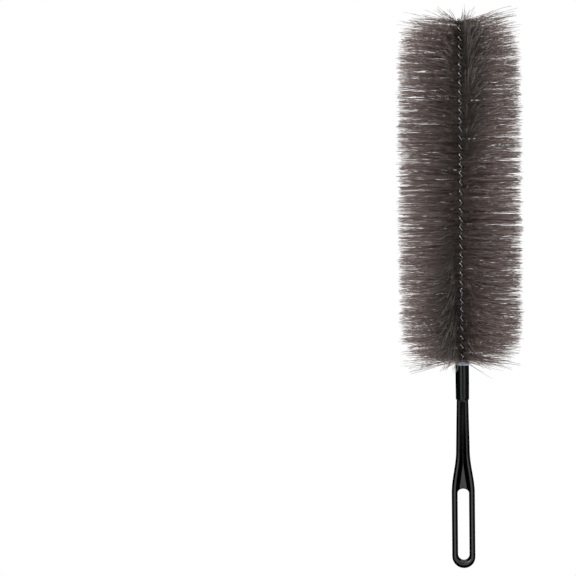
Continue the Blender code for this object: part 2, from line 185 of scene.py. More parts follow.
def hang_softbox(name, bearing, distance, height, width, tall, radiance):
    """A flat soft light at a bearing round the duster, turned to face its middle."""
    angle = math.radians(bearing)
    data = bpy.data.lights.new(name, "AREA")
    data.shape = "RECTANGLE"
    data.size = width
    data.size_y = tall
    data.energy = radiance * math.pi * width * tall
    lamp = bpy.data.objects.new(name, data)
    lamp.location = (distance * math.sin(angle), -distance * math.cos(angle), height)
    towards = Vector((0.0, 0.0, CAMERA_HEIGHT)) - lamp.location
    lamp.rotation_euler = towards.to_track_quat("-Z", "Y").to_euler()
    lamp.visible_camera = False
    bpy.context.scene.collection.objects.link(lamp)


def hang_card(name, corners):
    """A dark card with its corners at four points, which only gloss can see."""
    bm = bmesh.new()
    bm.faces.new([bm.verts.new(corner) for corner in corners])
    mesh = bpy.data.meshes.new(name)
    bm.to_mesh(mesh)
    bm.free()
    paint = bpy.data.materials.new(name)
    paint.use_nodes = True
    surface = paint.node_tree.nodes["Principled BSDF"]
    surface.inputs["Base Color"].default_value = BLACK
    surface.inputs["Specular IOR Level"].default_value = 0.0
    mesh.materials.append(paint)
    flag = bpy.data.objects.new(name, mesh)
    bpy.context.scene.collection.objects.link(flag)
    flag.visible_camera = False
    flag.visible_diffuse = False
    flag.visible_transmission = False
    flag.visible_shadow = False


def stand_flag(name, start, end, foot, top):
    """A card upright between two points of the floor plan."""
    hang_card(name, [(*start, foot), (*end, foot), (*end, top), (*start, top)])


def lay_flag(name, low, high, height):
    """A level card between two opposite corners."""
    corners = (low, (high[0], low[1]), high, (low[0], high[1]))
    hang_card(name, [(*corner, height) for corner in corners])


light_surround()
lay_floor()
for softbox in SOFTBOXES:
    hang_softbox(*softbox)
for tall_flag in TALL_FLAGS:
    stand_flag(*tall_flag)
lay_flag(*LEVEL_FLAG)


# Handle. One moulding of glossy black plastic: a rail bent like a hairpin leaves the hanging slot,
# and a sunken web joins its legs above the slot. The legs narrow into a grooved shank that ends in
# a collar, with a bored spigot on it for the brush's stem.

MM = 0.001
GRIP_HEIGHT = 72.0 * MM
LOOP_WIDTH = 16.5 * MM
LOOP_DEPTH = 5.6 * MM
RAIL_WIDTH = 4.2 * MM
LAND_SHARE = 0.16
LEG_ROUNDNESS = 1.85
SLOT_FOOT = 5.9 * MM
SLOT_TOP = 57.0 * MM
ARCH_HEIGHT = 3.2 * MM
SHOULDER_FOOT = 54.0 * MM
SHOULDER_LENGTH = 30.0 * MM
SHANK_TOP = 120.8 * MM
SHANK_FOOT_WIDTH = 9.8 * MM
SHANK_TOP_WIDTH = 8.3 * MM
SHANK_RAIL_WIDTH = 3.8 * MM
SHANK_DEPTH = 7.2 * MM
WEB_THICKNESS = 2.4 * MM
GROOVE_FLOOR_THICKNESS = 3.9 * MM
FACET_WIDTH = 4.8 * MM
FACET_LENGTH = 17.7 * MM
GROOVE_FLOOR_WIDTH = 0.1 * MM
EDGE_ROUNDING = 0.75 * MM
COLLAR_HEIGHT = 0.8 * MM
SPIGOT_RADIUS = 3.4 * MM
SPIGOT_TOP = 144.4 * MM
SPIGOT_CHAMFER = 0.4 * MM
SOCKET_RADIUS = 2.45 * MM
SOCKET_FOOT = 122.8 * MM
SHOULDER_TOP = SHOULDER_FOOT + SHOULDER_LENGTH
LOOP_HALF = LOOP_WIDTH / 2
SLOT_HALF = LOOP_HALF - RAIL_WIDTH
ARC_STEPS = 18
FLANK_STEPS = 10
STRAIGHT_STEPS = 14
RISING_STEPS = 34
COLLAR_FILL = 0.97
COLLAR_SHARES = (2.5, 2.1, 1.8, 1.5, 1.2, 0.9, 0.5, 0.2)
COLLAR_EDGE = 0.05 * MM
RIM_SHARES = (0.985, 0.96)
MERGE_DISTANCE = 0.002 * MM
HANDLE_CREASE = 34.0
FACET_SHARES = (0.0, 0.35, 0.7, 0.93)
FLANK_SHARES = (0.0, 0.07, 0.25, 0.5, 0.75, 0.92)
ARCH_ROWS = (0.0, 0.03, 0.1, 0.2, 0.35, 0.55, 0.8, 1.1, 1.5, 2.0, 2.6, 3.4, 4.4)


def mixed(low, high, share):
    return low + (high - low) * share


def eased(value, start, length):
    """0 below start, 1 past start + length, and smooth between."""
    share = min(1.0, max(0.0, (value - start) / length))
    return share * share * (3.0 - 2.0 * share)


def outer_half(height):
    """Half the handle's width, from the loop over the shoulder and up the tapering shank."""
    risen = min(1.0, max(0.0, (height - SHOULDER_TOP) / (SHANK_TOP - SHOULDER_TOP)))
    shank = mixed(SHANK_FOOT_WIDTH, SHANK_TOP_WIDTH, risen) / 2
    return mixed(LOOP_HALF, shank, eased(height, SHOULDER_FOOT, SHOULDER_LENGTH))


def inner_half(height):
    """Half the gap between the two legs."""
    rail = mixed(RAIL_WIDTH, SHANK_RAIL_WIDTH, eased(height, SHOULDER_FOOT, SHOULDER_LENGTH))
    return outer_half(height) - rail


def crest_depth(height):
    """How far the crest of a leg stands in front of the handle's middle plane."""
    return mixed(LOOP_DEPTH, SHANK_DEPTH, eased(height, SHOULDER_FOOT, SHOULDER_LENGTH)) / 2


def facet_half(height):
    """Half the width of the flat facet, which narrows to the groove's floor."""
    narrowed = min(1.0, max(0.0, height - SLOT_TOP) / FACET_LENGTH)
    return mixed(FACET_WIDTH, GROOVE_FLOOR_WIDTH, narrowed) / 2


def above_arch(offset, height):
    """Distance from the arched top of the slot, outwards, and from the level of its spring."""
    risen = height - (SLOT_TOP - ARCH_HEIGHT)
    if risen <= 0.0:
        return 0.0
    across, up = offset / SLOT_HALF, risen / ARCH_HEIGHT
    ring = math.hypot(across, up)
    slope = math.hypot(across / SLOT_HALF, up / ARCH_HEIGHT) / ring
    return max(0.0, min((ring - 1.0) / slope, risen))


def web_depth(offset, height):
    """The sunken web: a flat facet in the middle and a flank on each side up to the leg's land."""
    facet, leg = facet_half(height), inner_half(height)
    land = leg + (outer_half(height) - leg) / 2 * (1.0 - LAND_SHARE)
    grooved = eased(height, SLOT_TOP, SHOULDER_LENGTH)
    low = mixed(WEB_THICKNESS, GROOVE_FLOOR_THICKNESS, grooved) / 2
    climbed = min(1.0, max(0.0, offset - facet) / (land - facet))
    depth = mixed(low, crest_depth(height), climbed)
    collar = eased(height, SHANK_TOP - 2 * COLLAR_HEIGHT, COLLAR_HEIGHT)
    depth = mixed(depth, crest_depth(height), COLLAR_FILL * collar)
    edge = min(1.0, above_arch(offset, height) / EDGE_ROUNDING)
    return depth * math.sqrt(1.0 - (1.0 - edge) ** 2)


def leg_columns():
    """Where the mesh's columns lie across a leg, from its inner edge at -1 to its outer edge at 1."""
    quarter = [math.sin(math.pi / 2 * column / FLANK_STEPS) for column in range(FLANK_STEPS + 1)]
    flank = [mixed(LAND_SHARE, 1.0, share) for share in quarter]
    return [-across for across in reversed(flank)] + [-LAND_SHARE / 2, 0.0, LAND_SHARE / 2] + flank


def leg_depth(across):
    """A leg's section, as a share of its crest: a flat land with a rounded flank on each side."""
    fallen = max(0.0, abs(across) - LAND_SHARE) / (1.0 - LAND_SHARE)
    return max(0.0, 1.0 - fallen**LEG_ROUNDNESS) ** (1.0 / LEG_ROUNDNESS)


def leg_points(height):
    """One row across a leg above the loop's arc: (offset, depth, height) from inside to outside."""
    points = []
    for across in leg_columns():
        offset = mixed(inner_half(height), outer_half(height), (across + 1.0) / 2)
        depth = crest_depth(height) * leg_depth(across)
        if across < 0.0:
            depth = max(depth, web_depth(offset, height))
        points.append((offset, depth, height))
    return points


def arc_points(turn):
    """One row across the rail at an angle round the end of the loop."""
    direction = Vector((math.sin(turn), 0.0, -math.cos(turn)))
    outer = direction * LOOP_HALF + Vector((0.0, 0.0, LOOP_HALF))
    inner = direction * SLOT_HALF + Vector((0.0, 0.0, SLOT_FOOT + SLOT_HALF))
    points = []
    for across in leg_columns():
        point = inner.lerp(outer, (across + 1.0) / 2)
        points.append((point.x, LOOP_DEPTH / 2 * leg_depth(across), point.z))
    return points


def web_points(row, height):
    """One row across the web, which starts along the slot's arch and levels out above it."""
    spring = SLOT_TOP - ARCH_HEIGHT
    levelled = eased(height, spring, 4 * ARCH_HEIGHT)
    points = []
    facet = [facet_half(height) * share for share in FACET_SHARES]
    leg = inner_half(height)
    facet_edge = min(facet_half(height), leg)
    flank = [mixed(facet_edge, leg, share) for share in FLANK_SHARES]
    for offset in facet + flank:
        arch = ARCH_HEIGHT * math.sqrt(max(0.0, 1.0 - (offset / SLOT_HALF) ** 2))
        lifted = height + arch * (1.0 - levelled)
        depth = 0.0 if row == 0 else web_depth(offset, lifted)
        points.append((offset, depth, lifted))
    return points


def handle_quarter(bm):
    """The quarter of the moulding in front of its parting plane and to one side of its middle."""
    spring = SLOT_TOP - ARCH_HEIGHT
    straight = [mixed(LOOP_HALF, spring, row / STRAIGHT_STEPS) for row in range(1, STRAIGHT_STEPS)]
    opening = [spring + rise * MM for rise in ARCH_ROWS]
    below_collar = SHANK_TOP - 3 * COLLAR_HEIGHT
    climb = [(row + 1) / RISING_STEPS for row in range(RISING_STEPS)]
    rising = [mixed(opening[-1], below_collar, share) for share in climb]
    collar = [SHANK_TOP - COLLAR_HEIGHT * share for share in COLLAR_SHARES]
    heights = opening + rising + collar
    rows = [arc_points(math.pi / 2 * row / ARC_STEPS) for row in range(ARC_STEPS + 1)]
    rows += [leg_points(height) for height in straight + heights]
    grid = [[bm.verts.new((x, -depth, z)) for x, depth, z in row] for row in rows]
    for lower, upper in zip(grid, grid[1:]):
        for column in range(len(lower) - 1):
            bm.faces.new((lower[column], lower[column + 1], upper[column + 1], upper[column]))
    first = len(grid) - len(heights)
    web = []
    for row, height in enumerate(heights):
        made = [bm.verts.new((x, -depth, z)) for x, depth, z in web_points(row, height)]
        web.append(made + [grid[first + row][0]])
    for lower, upper in zip(web, web[1:]):
        for column in range(len(lower) - 1):
            bm.faces.new((lower[column], lower[column + 1], upper[column + 1], upper[column]))


def top_spigot(bm):
    """Closes the shank's top with a collar edge, the spigot and the socket bored down into it."""
    rim = {vertex for edge in bm.edges if edge.is_boundary for vertex in edge.verts}
    rim = sorted(rim, key=lambda vertex: math.atan2(vertex.co.y, vertex.co.x))
    angles = [math.atan2(vertex.co.y, vertex.co.x) for vertex in rim]
    outline = [vertex.co.copy() for vertex in rim]
    below = rim
    for share, height in zip(RIM_SHARES, (SHANK_TOP - COLLAR_EDGE, SHANK_TOP)):
        ring = [bm.verts.new((p.x * share, p.y * share, height)) for p in outline]
        for index in range(len(ring)):
            after = (index + 1) % len(ring)
            bm.faces.new((below[index], below[after], ring[after], ring[index]))
        below = ring
    for radius, height in (
        (SPIGOT_RADIUS, SHANK_TOP),
        (SPIGOT_RADIUS, SPIGOT_TOP - SPIGOT_CHAMFER),
        (SPIGOT_RADIUS - SPIGOT_CHAMFER, SPIGOT_TOP),
        (SOCKET_RADIUS, SPIGOT_TOP),
        (SOCKET_RADIUS, SOCKET_FOOT),
        (SOCKET_RADIUS / 3, SOCKET_FOOT),
    ):
        ring = [bm.verts.new((radius * math.cos(a), radius * math.sin(a), height)) for a in angles]
        for index in range(len(ring)):
            after = (index + 1) % len(ring)
            bm.faces.new((below[index], below[after], ring[after], ring[index]))
        below = ring
    middle = bm.verts.new((0.0, 0.0, SOCKET_FOOT))
    for index in range(len(below)):
        bm.faces.new((below[index], below[(index + 1) % len(below)], middle))


def set_piece(name, bm, crease, finish, node):
    """Lowers a mesh to the grip's frame and puts it in the place of the CAD node."""
    bmesh.ops.translate(bm, verts=bm.verts, vec=(0.0, 0.0, -GRIP_HEIGHT))
    bmesh.ops.recalc_face_normals(bm, faces=bm.faces)
    mesh = bpy.data.meshes.new(name)
    bm.to_mesh(mesh)
    bm.free()
    mesh.shade_smooth()
    mesh.set_sharp_from_angle(angle=math.radians(crease))
    return fit_mesh(name, mesh, finish, node)


def fit_mesh(name, mesh, finish, node):
    """Shows a finished mesh instead of the CAD node that it stands for."""
    piece = bpy.data.objects.new(name, mesh)
    bpy.context.scene.collection.objects.link(piece)
    if not mesh.materials:
        mesh.materials.append(finish)
    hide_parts(node)
    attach(piece, "root")
    return piece


class Reading:
    """A number in a node tree. Arithmetic on it adds the nodes that work it out."""

    def __init__(self, tree, socket):
        self.tree = tree
        self.socket = socket

    def by(self, operation, *others):
        node = self.tree.nodes.new("ShaderNodeMath")
        node.operation = operation
        for slot, value in zip(node.inputs, (self, *others)):
            if isinstance(value, Reading):
                self.tree.links.new(value.socket, slot)
            else:
                slot.default_value = value
        return Reading(self.tree, node.outputs["Value"])

    def __add__(self, other):
        return self.by("ADD", other)

    def __sub__(self, other):
        return self.by("SUBTRACT", other)

    def __mul__(self, other):
        return self.by("MULTIPLY", other)

    def __truediv__(self, other):
        return self.by("DIVIDE", other)

    def __pow__(self, other):
        return self.by("POWER", other)

    def towards(self, other, share):
        """Between this reading and another, by a share."""
        return self + (other - self) * share

    def stepped(self, start, end):
        """0 at start and 1 at end, smooth between. The start may be the higher of the two."""
        node = self.tree.nodes.new("ShaderNodeMapRange")
        node.interpolation_type = "SMOOTHSTEP"
        node.inputs["From Min"].default_value = start
        node.inputs["From Max"].default_value = end
        self.tree.links.new(self.socket, node.inputs["Value"])
        return Reading(self.tree, node.outputs["Result"])


def grain(tree, place, scale, detail, stretch=(1.0, 1.0, 1.0)):
    """A cloudy pattern, from 0 to 1, that may be stretched along an axis."""
    mapping = tree.nodes.new("ShaderNodeMapping")
    mapping.inputs["Scale"].default_value = stretch
    noise = tree.nodes.new("ShaderNodeTexNoise")
    noise.inputs["Scale"].default_value = scale
    noise.inputs["Detail"].default_value = detail
    tree.links.new(place, mapping.inputs["Vector"])
    tree.links.new(mapping.outputs["Vector"], noise.inputs["Vector"])
    return Reading(tree, noise.outputs["Fac"])


def shader_group(name, inputs, outputs):
    """An empty shader group with number inputs at their usual values and the outputs named."""
    tree = bpy.data.node_groups.new(name, "ShaderNodeTree")
    for label, value in inputs.items():
        socket = tree.interface.new_socket(name=label, in_out="INPUT", socket_type="NodeSocketFloat")
        socket.default_value = value
    for label in outputs:
        tree.interface.new_socket(name=label, in_out="OUTPUT", socket_type="NodeSocketFloat")
    taken = tree.nodes.new("NodeGroupInput")
    given = tree.nodes.new("NodeGroupOutput")
    readings = {label: Reading(tree, taken.outputs[label]) for label in inputs}
    return tree, readings, given


def make_moulded_skin():
    """Moulded gloss: flow marks along the piece, a faint orange peel and short fine scratches."""
    tree, given, out = shader_group(
        "moulded_skin",
        {"Peel": 1.0, "Flow": 1.0, "Scratches": 1.0},
        ("Gloss loss", "Height", "Scuff"),
    )
    place = tree.nodes.new("ShaderNodeTexCoord").outputs["Object"]
    peel = grain(tree, place, 900.0, 2.0)
    flow = grain(tree, place, 260.0, 4.0, (1.0, 1.0, 0.09))
    slant = grain(tree, place, 1500.0, 3.0, (1.0, 0.6, 0.05)).stepped(0.66, 0.74)
    crossed = grain(tree, place, 1300.0, 3.0, (0.08, 0.5, 1.0)).stepped(0.68, 0.76)
    patch = grain(tree, place, 90.0, 2.0).stepped(0.42, 0.68)
    scratches = slant.by("MAXIMUM", crossed) * patch * given["Scratches"]
    loss = (peel - 0.5) * given["Peel"] * 0.3 + (flow - 0.5) * given["Flow"] * 0.5 + scratches * 0.5
    height = peel * given["Peel"] + (flow - 0.5) * given["Flow"] * 0.6 - scratches * 0.4
    tree.links.new(loss.socket, out.inputs["Gloss loss"])
    tree.links.new(height.socket, out.inputs["Height"])
    tree.links.new(scratches.socket, out.inputs["Scuff"])
    return tree


def make_settled_dust():
    """Sparse pale lint: fine specks and a few hairs, gathered in patches."""
    tree, given, out = shader_group("settled_dust", {"Amount": 1.0}, ("Cover",))
    place = tree.nodes.new("ShaderNodeTexCoord").outputs["Object"]
    specks = grain(tree, place, 2600.0, 1.0).stepped(0.72, 0.8)
    hairs = grain(tree, place, 1100.0, 2.0, (1.0, 0.3, 0.16)).stepped(0.74, 0.79)
    patch = grain(tree, place, 70.0, 3.0).stepped(0.4, 0.7)
    cover = specks.by("MAXIMUM", hairs) * patch * given["Amount"]
    tree.links.new(cover.socket, out.inputs["Cover"])
    return tree


moulded_skin = make_moulded_skin()
settled_dust = make_settled_dust()


def placed(tree, group, **settings):
    """A group's node in a material, with its own values."""
    node = tree.nodes.new("ShaderNodeGroup")
    node.node_tree = group
    for label, value in settings.items():
        node.inputs[label.replace("_", " ")].default_value = value
    return node


def new_finish(name):
    finish = bpy.data.materials.new(name)
    finish.use_nodes = True
    return finish, finish.node_tree, finish.node_tree.nodes["Principled BSDF"]


def tint(tree, share, plain, other):
    """One colour giving way to another by a share."""
    node = tree.nodes.new("ShaderNodeMix")
    node.data_type = "RGBA"
    tree.links.new(share.socket, node.inputs[0])
    for socket, colour in ((node.inputs[6], plain), (node.inputs[7], other)):
        if isinstance(colour, tuple):
            socket.default_value = (*colour, 1.0)
        else:
            tree.links.new(colour, socket)
    return node.outputs[2]


def raise_surface(tree, shader, height, distance, strength):
    bump = tree.nodes.new("ShaderNodeBump")
    bump.inputs["Distance"].default_value = distance
    bump.inputs["Strength"].default_value = strength
    tree.links.new(height.socket, bump.inputs["Height"])
    tree.links.new(bump.outputs["Normal"], shader.inputs["Normal"])


BLACK_PLASTIC = (0.0008, 0.0008, 0.0009)
SCUFFED_PLASTIC = (0.012, 0.012, 0.013)
DUST_COLOUR = (0.3, 0.29, 0.28)
SEAM_WIDTH = 0.12 * MM
HANDLED_RISE = 3.0 * MM
HANDLE_ROUGHNESS = 0.11
HANDLE_SPECULAR = 0.8
SKIN_RELIEF = 0.01 * MM


def make_handle_finish():
    finish, tree, shader = new_finish("handle_gloss_black")
    skin = placed(tree, moulded_skin, Peel=0.8, Flow=1.0, Scratches=1.0)
    dust = placed(tree, settled_dust, Amount=0.3)
    place = tree.nodes.new("ShaderNodeTexCoord")
    parts = tree.nodes.new("ShaderNodeSeparateXYZ")
    tree.links.new(place.outputs["Object"], parts.inputs["Vector"])
    seam = Reading(tree, parts.outputs["Y"]).by("ABSOLUTE").stepped(SEAM_WIDTH, 0.0)
    height = Reading(tree, parts.outputs["Z"])
    handled = height.stepped(SLOT_FOOT - GRIP_HEIGHT + HANDLED_RISE, -GRIP_HEIGHT)
    scuff = Reading(tree, skin.outputs["Scuff"])
    worn = scuff.by("MAXIMUM", handled * scuff * 2.0 + handled * 0.12)
    colour = tint(tree, worn * 0.5, BLACK_PLASTIC, SCUFFED_PLASTIC)
    cover = Reading(tree, dust.outputs["Cover"])
    colour = tint(tree, cover * 0.35, colour, DUST_COLOUR)
    tree.links.new(colour, shader.inputs["Base Color"])
    loss = Reading(tree, skin.outputs["Gloss loss"])
    rough = loss * 0.12 + HANDLE_ROUGHNESS + cover * 0.3 + handled * 0.06
    tree.links.new(rough.socket, shader.inputs["Roughness"])
    shader.inputs["Specular IOR Level"].default_value = HANDLE_SPECULAR
    relief = Reading(tree, skin.outputs["Height"]) + seam * 1.2
    raise_surface(tree, shader, relief, SKIN_RELIEF, 0.5)
    return finish


handle_mesh = bmesh.new()
handle_quarter(handle_mesh)
for axis in ("X", "Y"):
    bmesh.ops.mirror(
        handle_mesh,
        geom=handle_mesh.verts[:] + handle_mesh.edges[:] + handle_mesh.faces[:],
        matrix=Matrix.Identity(4),
        merge_dist=MERGE_DISTANCE,
        axis=axis,
    )
bmesh.ops.remove_doubles(handle_mesh, verts=handle_mesh.verts, dist=MERGE_DISTANCE)
top_spigot(handle_mesh)
set_piece(
    "duster_handle", handle_mesh, HANDLE_CREASE, make_handle_finish(), "handle"
)


# Sleeve. A short tube of black plastic pushed over the spigot, a little wider towards the brush.
# Its end wall has a hole that the stem passes.

SLEEVE_FOOT = 121.1 * MM
SLEEVE_TOP = 146.3 * MM
SLEEVE_BORE = 3.7 * MM
SLEEVE_FOOT_RADIUS = 4.75 * MM
SLEEVE_TOP_RADIUS = 4.85 * MM
SLEEVE_TAPER_END = 0.5
SLEEVE_END_WALL = 1.6 * MM
LIP_ROUNDING = 0.4 * MM
FOOT_ROUNDING = 0.3 * MM
BORE_CHAMFER = 0.15 * MM
FLARE_STEPS = 24
TURNED_STEPS = 96
SLEEVE_CREASE = 40.0


def turned(outline, steps):
    """A ring of revolution from a closed outline of (radius, height) points."""
    bm = bmesh.new()
    rings = []
    for turn in range(steps):
        angle = 2.0 * math.pi * turn / steps
        rings.append([bm.verts.new((r * math.cos(angle), r * math.sin(angle), h)) for r, h in outline])
    for ring, other in zip(rings, rings[1:] + rings[:1]):
        for index in range(len(outline)):
            after = (index + 1) % len(outline)
            bm.faces.new((ring[index], other[index], other[after], ring[after]))
    return bm


def rounded(radius, height, size, start, end, steps=6):
    """Points on the quarter circle that rounds an edge."""
    return [
        (
            radius + size * math.cos(math.radians(mixed(start, end, turn / steps))),
            height + size * math.sin(math.radians(mixed(start, end, turn / steps))),
        )
        for turn in range(steps + 1)
    ]


def make_sleeve():
    outline = [(SLEEVE_BORE, SLEEVE_FOOT + BORE_CHAMFER), (SLEEVE_BORE + BORE_CHAMFER, SLEEVE_FOOT)]
    outline += rounded(
        SLEEVE_FOOT_RADIUS - FOOT_ROUNDING, SLEEVE_FOOT + FOOT_ROUNDING, FOOT_ROUNDING, -90.0, 0.0
    )
    for row in range(FLARE_STEPS):
        share = (row + 1) / FLARE_STEPS
        flared = eased(share, 0.0, SLEEVE_TAPER_END)
        height = mixed(SLEEVE_FOOT + 2 * FOOT_ROUNDING, SLEEVE_TOP - LIP_ROUNDING, share)
        outline.append((mixed(SLEEVE_FOOT_RADIUS, SLEEVE_TOP_RADIUS, flared), height))
    outline += rounded(
        SLEEVE_TOP_RADIUS - LIP_ROUNDING, SLEEVE_TOP - LIP_ROUNDING, LIP_ROUNDING, 15.0, 90.0
    )
    outline += [
        (SOCKET_RADIUS + BORE_CHAMFER, SLEEVE_TOP),
        (SOCKET_RADIUS, SLEEVE_TOP - BORE_CHAMFER),
        (SOCKET_RADIUS, SLEEVE_TOP - SLEEVE_END_WALL),
        (SLEEVE_BORE, SLEEVE_TOP - SLEEVE_END_WALL),
    ]
    return turned(outline, TURNED_STEPS)


SLEEVE_PLASTIC = (0.001, 0.0018, 0.0021)
SLEEVE_ROUGHNESS = 0.14
SLEEVE_SPECULAR = 0.46


def make_sleeve_finish():
    finish, tree, shader = new_finish("sleeve_black")
    skin = placed(tree, moulded_skin, Peel=0.5, Flow=1.6, Scratches=0.6)
    dust = placed(tree, settled_dust, Amount=0.6)
    cover = Reading(tree, dust.outputs["Cover"])
    worn = Reading(tree, skin.outputs["Scuff"]) * 0.5
    colour = tint(tree, worn, SLEEVE_PLASTIC, SCUFFED_PLASTIC)
    colour = tint(tree, cover * 0.35, colour, DUST_COLOUR)
    tree.links.new(colour, shader.inputs["Base Color"])
    rough = Reading(tree, skin.outputs["Gloss loss"]) * 0.16 + SLEEVE_ROUGHNESS + cover * 0.3
    tree.links.new(rough.socket, shader.inputs["Roughness"])
    shader.inputs["Specular IOR Level"].default_value = SLEEVE_SPECULAR
    raise_surface(tree, shader, Reading(tree, skin.outputs["Height"]), SKIN_RELIEF, 0.5)
    return finish


set_piece(
    "stem_sleeve", make_sleeve(), SLEEVE_CREASE, make_sleeve_finish(), "sleeve"
)


# Adhesive. A ring of clear glue that has set on the sleeve's mouth round the stem. It has crept
# a little way over the sleeve's rounded edge, so it is wider than the sleeve and uneven.

BEAD_BORE = 2.85 * MM
BEAD_FLOOR = 146.36 * MM
UNEVEN_BEYOND = 4.6 * MM
UNEVEN_ABOVE = BEAD_FLOOR + 0.3 * MM
BEAD_SWAY = 0.1 * MM
BEAD_SWELL = 0.006
BEAD_CREASE = 60.0

# Radius and height in millimetres: down over the sleeve's edge, up the outside and over the top
BEAD_SEAT = ((4.4, 146.36), (4.73, 146.0), (4.74, 145.8))
BEAD_DOME = ((4.9, 145.95), (4.95, 146.3), (4.9, 146.8), (4.7, 147.4), (4.35, 147.9))
BEAD_CROWN = ((3.8, 148.38), (3.3, 148.5), (2.95, 148.4))


def make_adhesive_ring():
    outline = [(BEAD_BORE, BEAD_FLOOR)]
    outline += [(radius * MM, height * MM) for radius, height in BEAD_SEAT + BEAD_DOME + BEAD_CROWN]
    bm = turned(outline, TURNED_STEPS)
    for vertex in bm.verts:
        angle = math.atan2(vertex.co.y, vertex.co.x)
        sway = math.sin(3.0 * angle + 0.6) + 0.6 * math.sin(5.0 * angle + 2.1)
        outside = math.hypot(vertex.co.x, vertex.co.y) > UNEVEN_BEYOND
        if outside or vertex.co.z > UNEVEN_ABOVE:
            vertex.co.z += sway * BEAD_SWAY
            vertex.co.x *= 1.0 + BEAD_SWELL * sway
            vertex.co.y *= 1.0 + BEAD_SWELL * sway
    return bm


GLUE_COLOUR = (0.34, 0.4, 0.47)
CLOUDED_GLUE = (0.55, 0.6, 0.66)
GLUE_ROUGHNESS = 0.12
GLUE_SCATTER = 0.5 * MM
GLUE_RELIEF = 0.03 * MM


def make_glue_finish():
    finish, tree, shader = new_finish("set_adhesive")
    place = tree.nodes.new("ShaderNodeTexCoord").outputs["Object"]
    cloud = grain(tree, place, 700.0, 4.0).stepped(0.35, 0.7)
    dust = placed(tree, settled_dust, Amount=1.0)
    colour = tint(tree, cloud, GLUE_COLOUR, CLOUDED_GLUE)
    colour = tint(tree, Reading(tree, dust.outputs["Cover"]) * 0.6, colour, DUST_COLOUR)
    tree.links.new(colour, shader.inputs["Base Color"])
    tree.links.new((cloud * 0.2 + GLUE_ROUGHNESS).socket, shader.inputs["Roughness"])
    shader.inputs["Subsurface Weight"].default_value = 0.3
    shader.inputs["Subsurface Scale"].default_value = GLUE_SCATTER
    raise_surface(tree, shader, cloud + grain(tree, place, 2200.0, 2.0), GLUE_RELIEF, 0.6)
    return finish


set_piece(
    "glue_ring", make_adhesive_ring(), BEAD_CREASE, make_glue_finish(), "adhesive_bead"
)


# Stem. Two dark steel wires are twisted together, left-handed, and hold the filaments between
# them. They lie close in the handle's socket, and the filaments spread them from the bead on.

WIRE_DIAMETER = 2.0 * MM
TWIST_PITCH = 13.0 * MM
STEM_FOOT = 123.5842 * MM
STEM_TOP = 394.4 * MM
CLOSED_RADIUS = 1.15 * MM
OPEN_RADIUS = 1.55 * MM
OPENED_AT = 147.45 * MM
OPENING_LENGTH = 3.0 * MM
WIRE_POINTS = 520
WIRE_SIDES = 14
WIRE_CREASE = 60.0


def geometry_tree(name, inputs):
    """A geometry tree whose named inputs are numbers, whole numbers or a material."""
    kinds = {float: "NodeSocketFloat", int: "NodeSocketInt", bpy.types.Material: "NodeSocketMaterial"}
    tree = bpy.data.node_groups.new(name, "GeometryNodeTree")
    tree.is_modifier = True
    for label, kind in inputs.items():
        tree.interface.new_socket(name=label, in_out="INPUT", socket_type=kinds[kind])
    tree.interface.new_socket(name="Mesh", in_out="OUTPUT", socket_type="NodeSocketGeometry")
    taken = tree.nodes.new("NodeGroupInput")
    return tree, {label: Reading(tree, taken.outputs[label]) for label in inputs}


def added(tree, kind, **inputs):
    """Adds a node, gives its inputs values or links, and returns it. Underscores stand for spaces."""
    node = tree.nodes.new(kind)
    for label, value in inputs.items():
        socket = node.inputs[label.replace("_", " ")]
        if isinstance(value, Reading):
            tree.links.new(value.socket, socket)
        elif isinstance(value, bpy.types.NodeSocket):
            tree.links.new(value, socket)
        else:
            socket.default_value = value
    return node


def evenly_drawn_line(tree, points):
    """A straight line up the Z axis, one metre long, with evenly spaced points."""
    line = added(tree, "GeometryNodeCurvePrimitiveLine", Start=(0.0, 0.0, 0.0), End=(0.0, 0.0, 1.0))
    drawn = added(tree, "GeometryNodeResampleCurve", Curve=line.outputs["Curve"], Count=points)
    return drawn.outputs["Curve"]


def moved_to(tree, curve, x, y, z):
    place = added(tree, "ShaderNodeCombineXYZ", X=x, Y=y, Z=z)
    moved = added(tree, "GeometryNodeSetPosition", Geometry=curve, Position=place.outputs["Vector"])
    return moved.outputs["Geometry"]


def drawn_out(tree, curve, sides, width, finish):
    """Sweeps a round section along the curves and ends the tree in a mesh with its material."""
    section = added(tree, "GeometryNodeCurvePrimitiveCircle", Resolution=sides, Radius=0.5)
    swept = added(
        tree,
        "GeometryNodeCurveToMesh",
        Curve=curve,
        Profile_Curve=section.outputs["Curve"],
        Scale=width,
        Fill_Caps=True,
    )
    real = added(tree, "GeometryNodeRealizeInstances", Geometry=swept.outputs["Mesh"])
    dressed = added(tree, "GeometryNodeSetMaterial", Geometry=real.outputs["Geometry"], Material=finish)
    given = tree.nodes.new("NodeGroupOutput")
    tree.links.new(dressed.outputs["Geometry"], given.inputs["Mesh"])


def grown_mesh(name, tree, settings):
    """The plain mesh that a geometry tree makes with its settings."""
    holder = bpy.data.objects.new(name, bpy.data.meshes.new(name))
    bpy.context.scene.collection.objects.link(holder)
    modifier = holder.modifiers.new(name, "NODES")
    modifier.node_group = tree
    for item in tree.interface.items_tree:
        if item.name in settings:
            modifier[item.identifier] = settings[item.name]
    holder.update_tag()
    graph = bpy.context.evaluated_depsgraph_get()
    mesh = bpy.data.meshes.new_from_object(holder.evaluated_get(graph), depsgraph=graph)
    holder.modifiers.clear()
    bpy.data.objects.remove(holder)
    mesh.name = name
    return mesh


